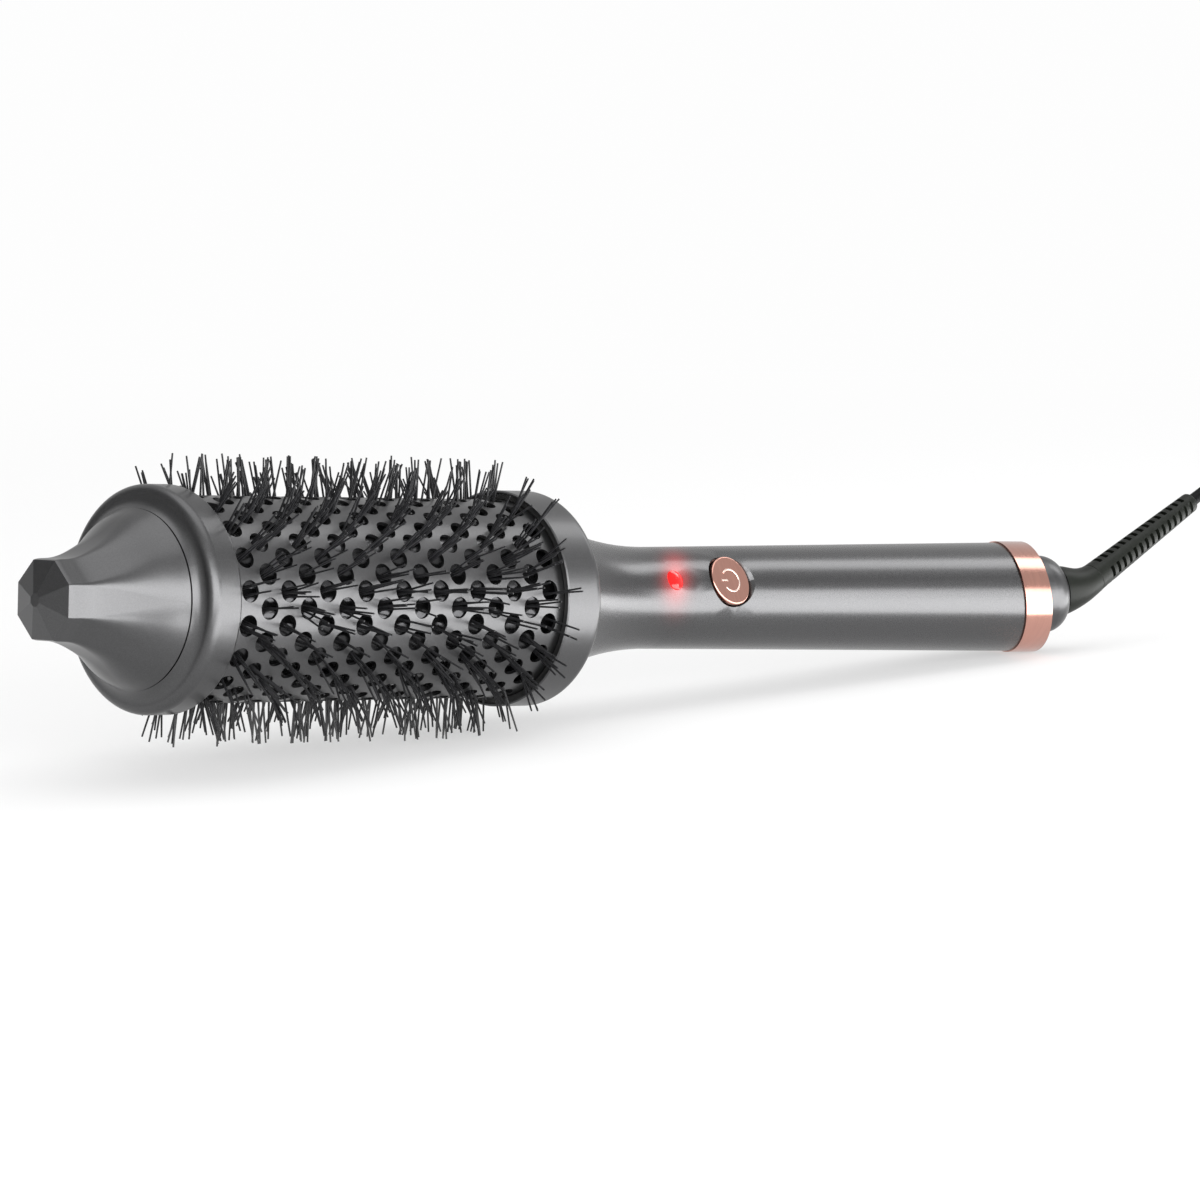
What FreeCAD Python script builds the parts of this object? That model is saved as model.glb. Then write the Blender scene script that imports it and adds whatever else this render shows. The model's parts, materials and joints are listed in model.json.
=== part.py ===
import FreeCAD, Part
import math
import os
import re
import Sketcher

# Infrared styling brush, lying on its bristles and on the rear edge of its accent ring.
# Brush frame: X runs along the brush from the apex of the cool tip to the cord,
# Z points out of the power button. Millimetres.

SIZES = {
    # Cool tip
    "face_rim_x": 2.4,
    "face_flats": 17.9,
    "face_centre_flats": 3.0,
    "nose_end_x": 28.0,
    # Front cap
    "cap_flare_rise": 3.3,
    "seam_groove": 0.5,
    "cap_flare_radius": 3.93,
    "cap_face_x": 30.3,
    "cap_overhang": 2.4,
    "cap_corner": 2.2,
    "cap_end_x": 38.7,
    "cap_rim_corner": 0.7,
    "cap_seat_x": 35.8,
    "cap_hub_radius": 8.0,
    "cap_hub_x": 33.2,
    # Barrel, drum and bristles
    "barrel_radius": 24.0,
    "barrel_wall": 0.9,
    "seat_clearance": 0.15,
    "hole_diameter": 5.1,
    "hole_pitch": 11.91,
    "first_hole_x": 43.1,
    "drum_gap": 3.5,
    "drum_wall": 1.5,
    "bar_gap": 0.1,
    "bar_height": 1.1,
    "bar_width": 2.2,
    "bar_margin": 2.0,
    "tuft_root_width": 3.2,
    "tuft_tip_width": 1.7,
    "bristle_reach": 9.2,
    "end_tuft_drop": 0.53,
    "row_turn": 2.96,
    # Collar and its insulating ring
    "collar_x": 142.6,
    "collar_overhang": 2.2,
    "collar_lip": 0.6,
    "collar_rim_corner": 0.3,
    "collar_floor_x": 149.2,
    "collar_corner": 2.6,
    "collar_band_end_x": 154.8,
    "collar_back_x": 157.2,
    "collar_bore_radius": 7.0,
    "insulator_set_back": 0.5,
    "insulator_length": 5.6,
    # Heater
    "core_radius": 11.0,
    "slot_width": 15.0,
    "slot_height": 6.0,
    "film_thickness": 0.5,
    "plate_length": 22.0,
    "plate_gap": 3.0,
    "heater_margin": 6.0,
    "sensor_radius": 1.2,
    "sensor_length": 6.0,
    "fuse_radius": 1.8,
    "fuse_length": 11.0,
    "bead_groove_clearance": 0.2,
    # Handle
    "neck_end_x": 193.0,
    "neck_radius": 12.7,
    "neck_flare_radius": 100.8,
    "handle_end_radius": 14.5,
    "handle_wall": 1.8,
    # Accent ring and mitred end
    "mitre_angle": 26.0,
    "ring_front_x": 331.1,
    "ring_rear_x": 341.7,
    "ring_radius": 14.8,
    "ring_inner_radius": 12.35,
    "tenon_radius": 12.2,
    "tenon_start_x": 318.0,
    # End cap and swivel, measured along the cord exit axis
    "exit_back": 20.0,
    "end_cap_radius": 10.4,
    "end_cap_straight": 4.8,
    "end_cap_length": 9.8,
    "end_cap_mouth_radius": 6.9,
    "end_cap_round": 6.5,
    "swivel_bore_radius": 4.3,
    "swivel_hall_radius": 5.9,
    "swivel_hall_start": 11.0,
    "swivel_hall_end": 16.0,
    "running_clearance": 0.3,
    "contact_radius": 4.5,
    "contact_length": 7.0,
    # Elbow and strain relief
    "boot_roll": 116.0,
    "boot_bend": 28.08,
    "boot_bend_radius": 18.5,
    "boot_straight": 2.0,
    "boot_base_radius": 6.75,
    "boot_seam_radius": 4.1,
    "sleeve_length": 45.4,
    "sleeve_root_radius": 4.0,
    "sleeve_end_radius": 2.75,
    "sleeve_slot_width": 1.25,
    "sleeve_slot_margin": 3.2,
    "sleeve_slot_span": 3.1,
    "sleeve_slot_turn": 57.0,
    "sleeve_core_radius": 2.1,
    "sleeve_tip_length": 2.4,
    "sleeve_tip_round": 0.8,
    "sleeve_groove": 0.35,
    # Indicator light
    "light_x": 193.9,
    "lens_radius": 2.5,
    "lens_clearance": 0.1,
    "lens_flange_radius": 3.2,
    "lens_flange_height": 0.8,
    "lens_crown_radius": 6.0,
    "light_source_radius": 2.4,
    # Power button
    "button_x": 214.1,
    "button_radius": 6.4,
    "button_face_z": 12.6,
    "button_edge_round": 0.45,
    "button_clearance": 0.3,
    "button_travel": 0.9,
    "button_flange_radius": 7.1,
    "button_flange_height": 0.9,
    "recess_radius": 7.65,
    "recess_floor_radius": 6.8,
    "recess_floor_z": 11.2,
    "well_wall": 1.4,
    "well_floor": 2.9,
    "plunger_radius": 1.7,
    # Electronics on the chassis
    "chassis_radius": 10.5,
    "chassis_start_x": 184.0,
    "chassis_end_x": 312.0,
    "chassis_top_z": -1.0,
    "board_start_x": 187.0,
    "board_end_x": 300.0,
    "board_width": 17.0,
    "board_thickness": 1.6,
    "switch_width": 6.0,
    "switch_height": 3.4,
    "capacitor_x": 246.0,
    "capacitor_length": 13.0,
    "capacitor_width": 8.0,
    "capacitor_height": 7.0,
    "triac_x": 272.0,
    "triac_length": 10.0,
    "triac_width": 4.5,
    "triac_height": 7.0,
    "screw_margin": 8.0,
    "screw_head_radius": 2.4,
    "screw_head_height": 1.6,
    "screw_shank_radius": 1.2,
    "screw_shank_length": 5.0,
    "screw_clearance": 0.1,
    # Cord, coil, tie and plug
    "cord_diameter": 3.4,
    "first_run": 14.0,
    "coil_centre_x": 322.0,
    "coil_outer_radius": 26.3,
    "coil_step": 3.95,
    "coil_layer_height": 5.2,
    "coil_reversal_step": 5.6,
    "tie_width": 7.0,
    "tie_thickness": 0.8,
    "tie_clearance": 0.7,
    "plug_x": 372.0,
    "plug_length": 30.0,
    "plug_width": 22.0,
    "plug_height": 15.0,
    "plug_round": 3.0,
    "plug_neck_length": 9.0,
    "plug_neck_radius": 3.6,
    "blade_length": 17.0,
    "blade_width": 6.3,
    "blade_thickness": 1.5,
    "blade_spacing": 12.7,
    "overrun": 5.0,
}
# Sizes that follow from others.
DERIVED = {
    "cap_radius": "barrel_radius + cap_overhang",
    "nose_end_radius": "cap_radius - cap_corner - cap_flare_rise",
    "drum_radius": "barrel_radius - drum_gap",
    "tuft_tip_radius": "barrel_radius + bristle_reach",
    "collar_radius": "barrel_radius + collar_overhang",
    "mouth_radius": "collar_radius - collar_lip",
    "flare_run": "neck_end_x - collar_back_x",
    "flare_start_radius": "neck_radius + neck_flare_radius - sqrt(neck_flare_radius^2 - flare_run^2)",
    "mitred_far_x": "ring_rear_x + overrun",
    "handle_slope": "(handle_end_radius - neck_radius) / (ring_front_x - neck_end_x)",
    "handle_far_radius": "handle_end_radius + handle_slope * (mitred_far_x - ring_front_x)",
    "lens_flange_top": "sqrt((neck_radius - handle_wall)^2 - lens_flange_radius^2) - lens_clearance",
    "lens_flange_bottom": "lens_flange_top - lens_flange_height",
    "lens_crown": "lens_crown_radius - sqrt(lens_crown_radius^2 - lens_radius^2)",
    "board_top": "chassis_top_z + board_thickness",
    "film_slot_width": "slot_width - 2 * film_thickness",
    "film_slot_height": "slot_height - 2 * film_thickness",
    "heater_length": "collar_floor_x - cap_seat_x",
    "fuse_z": "slot_height / 2 + film_thickness + fuse_radius + bead_groove_clearance",
    "screw_depth": "screw_shank_length - screw_clearance",
    "button_flange_top": "recess_floor_z - well_floor - running_clearance",
    "button_flange_bottom": "button_flange_top - button_flange_height",
    "plunger_bottom": "board_top + switch_height + running_clearance + button_travel",
}
ROW_COUNT = 38
LONG_ROW_COUNT = 9
PLATE_COUNT = 4
FACE_COUNT = 8
STAGGER_SHARE = 0.5
SLOT_COUNT = 15
SLOT_ROW_COUNT = 4
COIL_HALF_TURNS = 5
ROLL_ROWS = 6.5
ARC_SHARE = 0.45
GAP_SAMPLES = 40
# Shares of the nose: along its length, of its growth in radius, and of each corner's roundness.
NOSE_LENGTH_SHARES = (0.0, 0.15, 0.30, 0.45, 0.61, 0.76, 0.91, 1.0)
NOSE_RADIUS_SHARES = (0.0, 0.033, 0.10, 0.234, 0.418, 0.653, 0.887, 1.0)
NOSE_CORNER_SHARES = (0.03, 0.10, 0.22, 0.42, 0.65, 0.84, 0.94, 0.97)
# The cord from its second point to the coil, and from the coil to the plug, on the floor's frame.
CORD_ROUTE = (
    (226.0, -7.5, 44.5),
    (243.0, -11.0, 38.5),
    (258.0, -15.5, 25.5),
    (272.0, -20.0, 12.5),
    (287.0, -24.0, 4.9),
    (303.0, -26.3, 3.2),
)
TAIL_ROUTE = ((338.0, -26.3, 18.8), (357.0, -22.0, 7.5))
# Shares of the elbow: of its bend, and of its narrowing to the seam.
ELBOW_BEND_SHARES = (0.0, 0.35, 0.7, 1.0)
ELBOW_RADIUS_SHARES = (0.18, 0.55, 0.85, 1.0)

X_AXIS = FreeCAD.Vector(1, 0, 0)
Y_AXIS = FreeCAD.Vector(0, 1, 0)
Z_AXIS = FreeCAD.Vector(0, 0, 1)

doc = FreeCAD.newDocument("styling_brush")
sheet = doc.addObject("Spreadsheet::Sheet", "sizes")
cells = {**SIZES, **{alias: f"={text}" for alias, text in DERIVED.items()}}
for row, (alias, content) in enumerate(cells.items(), start=1):
    sheet.set(f"A{row}", alias)
    sheet.set(f"B{row}", str(content))
    sheet.setAlias(f"B{row}", alias)
doc.recompute()

parts = {}
frames = {}
laid = {}


def size(name):
    return float(sheet.get(name))


def value(text):
    """The number that an expression in sizes gives."""
    found = sheet.evalExpression(text)
    return float(getattr(found, "Value", found))


def bound(text):
    """The same expression as another object writes it."""
    return re.sub(r"[a-z][a-z_]*", lambda m: f"sizes.{m[0]}" if m[0] in cells else m[0], text)


def at(x=0.0, y=0.0, z=0.0, axis=X_AXIS, angle=0.0):
    return FreeCAD.Placement(FreeCAD.Vector(x, y, z), FreeCAD.Rotation(axis, angle))


def keep(name, thing, frame=None):
    """Files a finished sub-part under its node name, with its frame in the brush."""
    thing.Label = name
    parts[name] = thing
    frames[name] = frame or FreeCAD.Placement()
    return thing


def turned(name, outline):
    """A body turned about its own X axis. Each point is x, radius and, for an arc to the next
    point, the arc's radius and the side of its centre: 1 for left, -1 for right."""
    body = doc.addObject("PartDesign::Body", name)
    sketch = body.newObject("Sketcher::SketchObject", name + "_outline")
    plane = [f for f in body.Origin.OriginFeatures if f.Role == "XZ_Plane"][0]
    sketch.AttachmentSupport = (plane, [""])
    sketch.MapMode = "FlatFace"
    corners = [FreeCAD.Vector(value(p[0]), value(p[1]), 0) for p in outline]
    ends = []
    for i, point in enumerate(outline):
        here, there = corners[i], corners[(i + 1) % len(corners)]
        if len(point) == 2:
            edge = sketch.addGeometry(Part.LineSegment(here, there), False)
            ends.append((edge, 1, 2))
            continue
        radius, side = value(point[2]), point[3]
        along = there - here
        left = FreeCAD.Vector(-along.y, along.x, 0).normalize() * side
        middle = here + along * 0.5 + left * math.sqrt(radius**2 - (along.Length / 2) ** 2)
        first, last = (here, there) if side > 0 else (there, here)
        angles = [math.atan2(p.y - middle.y, p.x - middle.x) for p in (first, last)]
        arc = Part.ArcOfCircle(Part.Circle(middle, Z_AXIS, radius), *angles)
        edge = sketch.addGeometry(arc, False)
        ends.append((edge, 1, 2) if side > 0 else (edge, 2, 1))
        number = sketch.addConstraint(Sketcher.Constraint("Radius", edge, radius))
        sketch.setExpression(f"Constraints[{number}]", bound(point[2]))
    for i, point in enumerate(outline):
        edge, start, _ = ends[i]
        before, _, finish = ends[i - 1]
        sketch.addConstraint(Sketcher.Constraint("Coincident", before, finish, edge, start))
        for kind, text, axis in (("DistanceX", point[0], -2), ("DistanceY", point[1], -1)):
            if value(text) == 0:
                sketch.addConstraint(Sketcher.Constraint("PointOnObject", edge, start, axis))
                continue
            number = sketch.addConstraint(Sketcher.Constraint(kind, edge, start, value(text)))
            sketch.setExpression(f"Constraints[{number}]", bound(text))
    turn = body.newObject("PartDesign::Revolution", name + "_turn")
    turn.Profile = sketch
    turn.ReferenceAxis = (sketch, ["H_Axis"])
    turn.Angle = 360
    body.Tip = turn
    return body


def primitive(kind, name, sizes, frame):
    """A box, cylinder or cone with its sizes bound to expressions."""
    thing = doc.addObject("Part::" + kind, name)
    for key, text in sizes.items():
        thing.setExpression(key, bound(text))
    thing.Placement = frame
    return thing


def rod(name, radius, length, frame):
    return primitive("Cylinder", name, {"Radius": radius, "Height": length}, frame)


def block(name, length, width, height, frame):
    return primitive("Box", name, {"Length": length, "Width": width, "Height": height}, frame)


def cut(name, base, tool):
    thing = doc.addObject("Part::Cut", name)
    thing.Base = base
    thing.Tool = tool
    return thing


def common(name, base, tool):
    thing = doc.addObject("Part::Common", name)
    thing.Base = base
    thing.Tool = tool
    return thing


def joined(name, pieces):
    thing = doc.addObject("Part::MultiFuse", name)
    thing.Shapes = pieces
    return thing


def shaped(name, shape):
    thing = doc.addObject("Part::Feature", name)
    thing.Shape = shape
    return thing


def along_x(x, y=0.0, z=0.0):
    """A frame whose Z axis runs along the brush."""
    return at(x, y, z, Y_AXIS, 90)


def out_of_button(x, z):
    """A frame whose X axis points out of the button."""
    return at(x, 0, z, Y_AXIS, -90)


# Cool tip


def octagon(x, flats_radius, corner_share):
    """An eight-sided section across the brush with a corner on the button's side."""
    turn = math.pi / FACE_COUNT
    inner = flats_radius * (1 - corner_share) / math.cos(turn)
    reach = flats_radius * corner_share
    edges = []
    spots = []
    for i in range(FACE_COUNT):
        angle = 2 * turn * i
        hub = FreeCAD.Vector(x, math.sin(angle) * inner, math.cos(angle) * inner)
        spots.append(
            [
                hub + FreeCAD.Vector(0, math.sin(angle + s * turn), math.cos(angle + s * turn)) * reach
                for s in (-1, 0, 1)
            ]
        )
    for i in range(FACE_COUNT):
        edges.append(Part.Arc(*spots[i]).toShape())
        edges.append(Part.LineSegment(spots[i][2], spots[(i + 1) % FACE_COUNT][0]).toShape())
    return Part.Wire(edges)


def tip_nose():
    rim = size("face_flats") / 2
    length = size("nose_end_x") - size("face_rim_x")
    growth = size("nose_end_radius") - rim
    sections = [
        octagon(size("face_rim_x") + length * a, rim + growth * b, c)
        for a, b, c in zip(NOSE_LENGTH_SHARES, NOSE_RADIUS_SHARES, NOSE_CORNER_SHARES)
    ]
    flare = Part.makeLoft(sections, True, False)
    centre = octagon(0, size("face_centre_flats") / 2, NOSE_CORNER_SHARES[0])
    face = Part.makeLoft([centre, sections[0]], True, True)
    keep("tip_nose", shaped("tip_nose", flare.fuse(face)))


def front_cap():
    keep(
        "front_cap",
        turned(
            "front_cap",
            [
                ("nose_end_x", "0"),
                ("nose_end_x", "nose_end_radius - seam_groove"),
                ("nose_end_x + seam_groove", "nose_end_radius - seam_groove"),
                ("nose_end_x + seam_groove", "nose_end_radius", "cap_flare_radius", 1),
                ("cap_face_x", "cap_radius - cap_corner", "cap_corner", -1),
                ("cap_face_x + cap_corner", "cap_radius"),
                ("cap_end_x - cap_rim_corner", "cap_radius", "cap_rim_corner", -1),
                ("cap_end_x", "cap_radius - cap_rim_corner"),
                ("cap_end_x", "barrel_radius + seat_clearance"),
                ("cap_seat_x", "barrel_radius + seat_clearance"),
                ("cap_seat_x", "cap_hub_radius"),
                ("cap_hub_x", "cap_hub_radius"),
                ("cap_hub_x", "0"),
            ],
        ),
    )


# Barrel, drum and bristles


def row_angle(row):
    """The turn of a row of holes from the button, which looks out between two rows."""
    return 360 / ROW_COUNT * row - size("row_turn")


def hole_places(row):
    """Where along the brush the holes of a row are: long rows and short rows alternate."""
    pitch = size("hole_pitch")
    short = row % 2
    start = size("first_hole_x") + short * pitch / 2
    return [start + pitch * i for i in range(LONG_ROW_COUNT - short)]


def barrel_ring(start, end, hole_x, first_row):
    """A length of the barrel with one hole of every second row."""
    outer, wall = size("barrel_radius"), size("barrel_wall")
    foot = FreeCAD.Vector(start, 0, 0)
    ring = Part.makeCylinder(outer, end - start, foot, X_AXIS)
    ring = ring.cut(Part.makeCylinder(outer - wall, end - start, foot, X_AXIS))
    drills = []
    for row in range(first_row, ROW_COUNT, 2):
        root = FreeCAD.Vector(hole_x, 0, outer - 2 * wall)
        drill = Part.makeCylinder(size("hole_diameter") / 2, 3 * wall, root)
        drill.rotate(FreeCAD.Vector(), X_AXIS, row_angle(row))
        drills.append(drill)
    return ring.cut(Part.makeCompound(drills))


def barrel():
    places = sorted((x, row) for row in (0, 1) for x in hole_places(row))
    step = size("hole_pitch") / 2
    rings = []
    for x, row in places:
        start = size("cap_seat_x") if x == places[0][0] else x - step / 2
        end = size("collar_floor_x") if x == places[-1][0] else x + step / 2
        rings.append(barrel_ring(start, end, x, row))
    keep("barrel", shaped("barrel", rings[0].multiFuse(rings[1:])))


def bristle_drum():
    keep(
        "bristle_drum",
        turned(
            "bristle_drum",
            [
                ("cap_seat_x", "drum_radius - drum_wall"),
                ("cap_seat_x", "drum_radius"),
                ("collar_floor_x", "drum_radius"),
                ("collar_floor_x", "drum_radius - drum_wall"),
            ],
        ),
    )


def hexagon(x, z, width):
    return [
        FreeCAD.Vector(x + width / 2 * math.cos(a), width / 2 * math.sin(a), z)
        for a in (math.pi / 3 * i for i in range(6))
    ]


def tuft(x, root_z, tip_z):
    """A six-sided tuft that narrows to its tip."""
    root = hexagon(x, root_z, size("tuft_root_width"))
    tip = hexagon(x, tip_z, size("tuft_tip_width"))
    rings = [root, tip] + [
        [root[i], root[i - 1], tip[i - 1], tip[i]] for i in range(len(root))
    ]
    faces = [Part.Face(Part.makePolygon([*ring, ring[0]])) for ring in rings]
    return Part.Solid(Part.makeShell(faces))


def bristle_strips():
    """One strip for each row of holes: a bar on the drum with a tapered tuft in every hole."""
    bar_bottom = size("drum_radius") + size("bar_gap")
    strips = []
    for row in range(ROW_COUNT):
        places = hole_places(row)
        margin = size("bar_margin")
        bar = Part.makeBox(
            places[-1] - places[0] + 2 * margin,
            size("bar_width"),
            size("bar_height"),
            FreeCAD.Vector(places[0] - margin, -size("bar_width") / 2, bar_bottom),
        )
        tufts = []
        for i, x in enumerate(places):
            at_end = i in (0, len(places) - 1) and row % 2 == 0
            top = size("tuft_tip_radius") - (size("end_tuft_drop") if at_end else 0)
            tufts.append(tuft(x, bar_bottom + size("bar_height") / 2, top))
        strip = bar.multiFuse(tufts).removeSplitter()
        strip.rotate(FreeCAD.Vector(), X_AXIS, row_angle(row))
        strips.append(strip)
    keep("bristle_strips", shaped("bristle_strips", Part.makeCompound(strips)))


# Collar


def barrel_collar():
    keep(
        "barrel_collar",
        turned(
            "barrel_collar",
            [
                ("collar_x", "mouth_radius"),
                ("collar_x", "collar_radius - collar_rim_corner"),
                ("collar_x + collar_rim_corner", "collar_radius"),
                ("collar_band_end_x - collar_corner", "collar_radius", "collar_corner", -1),
                ("collar_band_end_x", "collar_radius - collar_corner"),
                ("collar_back_x", "flare_start_radius"),
                ("collar_back_x", "collar_bore_radius"),
                ("collar_floor_x", "collar_bore_radius"),
                ("collar_floor_x", "mouth_radius"),
            ],
        ),
    )
    keep(
        "rear_insulator_ring",
        turned(
            "rear_insulator_ring",
            [
                ("collar_x + insulator_set_back", "barrel_radius + seat_clearance"),
                ("collar_x + insulator_set_back", "mouth_radius - seat_clearance"),
                ("collar_x + insulator_set_back + insulator_length", "mouth_radius - seat_clearance"),
                ("collar_x + insulator_set_back + insulator_length", "barrel_radius + seat_clearance"),
            ],
        ),
    )


# Heater


def heater():
    seat, film = size("cap_seat_x"), size("film_thickness")
    side, foot = -size("slot_width") / 2, -size("slot_height") / 2
    body = rod("core_rod", "core_radius", "heater_length", along_x(seat))
    slot = block("core_slot", "heater_length", "slot_width", "slot_height", at(seat, side, foot))
    groove_radius = "fuse_radius + bead_groove_clearance"
    groove = rod("core_groove", groove_radius, "heater_length", along_x(seat, 0, size("fuse_z")))
    keep("heater_core", cut("heater_core", body, joined("core_cuts", [slot, groove])))
    sleeve = block("film_block", "heater_length", "slot_width", "slot_height", at(seat, side, foot))
    inside = at(seat, side + film, foot + film)
    space = block("film_inside", "heater_length", "film_slot_width", "film_slot_height", inside)
    keep("heater_insulation", cut("heater_insulation", sleeve, space))
    plates = []
    for i in range(PLATE_COUNT):
        x = seat + size("heater_margin") + i * (size("plate_length") + size("plate_gap"))
        place = at(x, side + film, foot + film)
        plates.append(block(f"plate_{i}", "plate_length", "film_slot_width", "film_slot_height", place))
    compound = doc.addObject("Part::Compound", "heater_plates")
    compound.Links = plates
    keep("heater_plates", compound)
    middle = seat + size("heater_length") / 2
    fuse = rod("thermal_fuse", "fuse_radius", "fuse_length", FreeCAD.Placement())
    keep("thermal_fuse", fuse, along_x(middle, 0, size("fuse_z")))
    sensor_x = middle - size("fuse_length") - size("sensor_length")
    sensor_z = size("fuse_z") - size("fuse_radius") + size("sensor_radius")
    sensor = rod("temperature_sensor", "sensor_radius", "sensor_length", FreeCAD.Placement())
    keep("temperature_sensor", sensor, along_x(sensor_x, 0, sensor_z))


# Handle


def behind_mitre(name, x):
    """A block whose front face is the slanted plane that crosses the axis at x."""
    long = "ring_rear_x - neck_end_x"
    half = size("ring_rear_x") - size("neck_end_x")
    frame = at(size(x), 0, 0, Y_AXIS, -size("mitre_angle")).multiply(at(0, -half / 2, -half / 2))
    return block(name, long, long, long, frame)


def handle_shell():
    outer = turned(
        "handle_outer",
        [
            ("collar_back_x", "0"),
            ("collar_back_x", "flare_start_radius", "neck_flare_radius", 1),
            ("neck_end_x", "neck_radius"),
            ("mitred_far_x", "handle_far_radius"),
            ("mitred_far_x", "0"),
        ],
    )
    bore = turned(
        "handle_bore",
        [
            ("collar_back_x", "0"),
            ("collar_back_x", "flare_start_radius - handle_wall", "neck_flare_radius + handle_wall", 1),
            ("neck_end_x", "neck_radius - handle_wall"),
            ("mitred_far_x", "handle_far_radius - handle_wall"),
            ("mitred_far_x", "0"),
        ],
    )
    x, floor = size("button_x"), size("recess_floor_z")
    well_place = at(x, 0, floor - size("well_floor"))
    well = rod("button_well", "recess_radius + well_wall", "handle_end_radius", well_place)
    wall = cut("handle_wall_tube", outer, cut("handle_space", bore, well))
    recess_sizes = {
        "Radius1": "recess_floor_radius",
        "Radius2": "2 * recess_radius - recess_floor_radius",
        "Height": "2 * (button_face_z - recess_floor_z)",
    }
    recess = primitive("Cone", "button_recess", recess_sizes, at(x, 0, floor))
    hole = rod("button_hole", "button_radius + button_clearance", "handle_end_radius", at(x))
    light = rod("light_hole", "lens_radius + lens_clearance", "handle_end_radius", at(size("light_x")))
    cuts = joined("handle_cuts", [recess, hole, light, behind_mitre("handle_mitre", "ring_front_x")])
    keep("handle_shell", cut("handle_shell", wall, cuts))


def accent_ring():
    start = "ring_front_x - ring_radius"
    length = "ring_rear_x - ring_front_x + 2 * ring_radius"
    tube = cut(
        "ring_tube",
        rod("ring_outside", "ring_radius", length, along_x(value(start))),
        rod("ring_inside", "ring_inner_radius", length, along_x(value(start))),
    )
    front = common("ring_behind_front", tube, behind_mitre("ring_front_plane", "ring_front_x"))
    keep("accent_ring", cut("accent_ring", front, behind_mitre("ring_rear_plane", "ring_rear_x")))


def exit_frame():
    """X along the cord exit axis, square to the mitred end, from a point inside the handle."""
    mitre = at(size("ring_rear_x"), 0, 0, Y_AXIS, -size("mitre_angle"))
    return mitre.multiply(at(-size("exit_back")))


def end_cap():
    dome = turned(
        "end_cap_dome",
        [
            ("exit_back", "0"),
            ("exit_back", "end_cap_radius"),
            ("exit_back + end_cap_straight", "end_cap_radius", "end_cap_round", -1),
            ("exit_back + end_cap_length", "end_cap_mouth_radius"),
            ("exit_back + end_cap_length", "0"),
        ],
    )
    dome.Placement = exit_frame()
    tenon_length = "ring_rear_x + ring_radius - tenon_start_x"
    tenon = cut(
        "end_cap_tenon",
        rod("tenon_rod", "tenon_radius", tenon_length, along_x(size("tenon_start_x"))),
        behind_mitre("tenon_plane", "ring_rear_x"),
    )
    bore = turned(
        "swivel_bore",
        [
            ("swivel_hall_start - contact_length", "0"),
            ("swivel_hall_start - contact_length", "contact_radius + seat_clearance"),
            ("swivel_hall_start", "contact_radius + seat_clearance"),
            ("swivel_hall_start", "swivel_hall_radius"),
            ("swivel_hall_end", "swivel_hall_radius"),
            ("swivel_hall_end", "swivel_bore_radius"),
            ("exit_back + end_cap_length + overrun", "swivel_bore_radius"),
            ("exit_back + end_cap_length + overrun", "0"),
        ],
    )
    bore.Placement = exit_frame()
    keep("end_cap", cut("end_cap", joined("end_cap_solid", [dome, tenon]), bore))
    block_rod = rod("swivel_contacts", "contact_radius", "contact_length", FreeCAD.Placement())
    start = size("swivel_hall_start") - size("contact_length")
    keep("swivel_contacts", block_rod, exit_frame().multiply(along_x(start)))


# Swivelling cord exit


def swivel_hub():
    clear = "running_clearance"
    keep(
        "swivel_hub",
        turned(
            "swivel_hub",
            [
                (f"swivel_hall_start + {clear}", "0"),
                (f"swivel_hall_start + {clear}", f"swivel_hall_radius - {clear}"),
                (f"swivel_hall_end - {clear}", f"swivel_hall_radius - {clear}"),
                (f"swivel_hall_end - {clear}", f"swivel_bore_radius - {clear}"),
                (f"exit_back + end_cap_length + {clear}", f"swivel_bore_radius - {clear}"),
                (f"exit_back + end_cap_length + {clear}", "0"),
            ],
        ),
        exit_frame(),
    )


def boot_frame():
    """X along the exit axis from the elbow's base; the elbow bends towards Z."""
    base = size("exit_back") + size("end_cap_length") + size("running_clearance")
    return exit_frame().multiply(at(base, 0, 0, X_AXIS, -size("boot_roll")))


def elbow_section(bend, radius, straight):
    """A round section of the elbow where it has turned by an angle."""
    turn = size("boot_bend_radius")
    centre = FreeCAD.Vector(straight + turn * math.sin(bend), 0, turn * (1 - math.cos(bend)))
    direction = FreeCAD.Vector(math.cos(bend), 0, math.sin(bend))
    return Part.Wire(Part.makeCircle(radius, centre, direction))


def boot_elbow():
    base, seam = size("boot_base_radius"), size("boot_seam_radius")
    sections = [elbow_section(0, base, 0)]
    for a, b in zip(ELBOW_BEND_SHARES, ELBOW_RADIUS_SHARES):
        bend = math.radians(size("boot_bend")) * a
        sections.append(elbow_section(bend, base + (seam - base) * b, size("boot_straight")))
    keep("boot_elbow", shaped("boot_elbow", Part.makeLoft(sections, True, False)), boot_frame())


def sleeve_frame():
    """X along the strain relief from the seam."""
    bend = math.radians(size("boot_bend"))
    turn = size("boot_bend_radius")
    x = size("boot_straight") + turn * math.sin(bend)
    z = turn * (1 - math.cos(bend))
    return boot_frame().multiply(at(x, 0, z, Y_AXIS, -size("boot_bend")))


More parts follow.
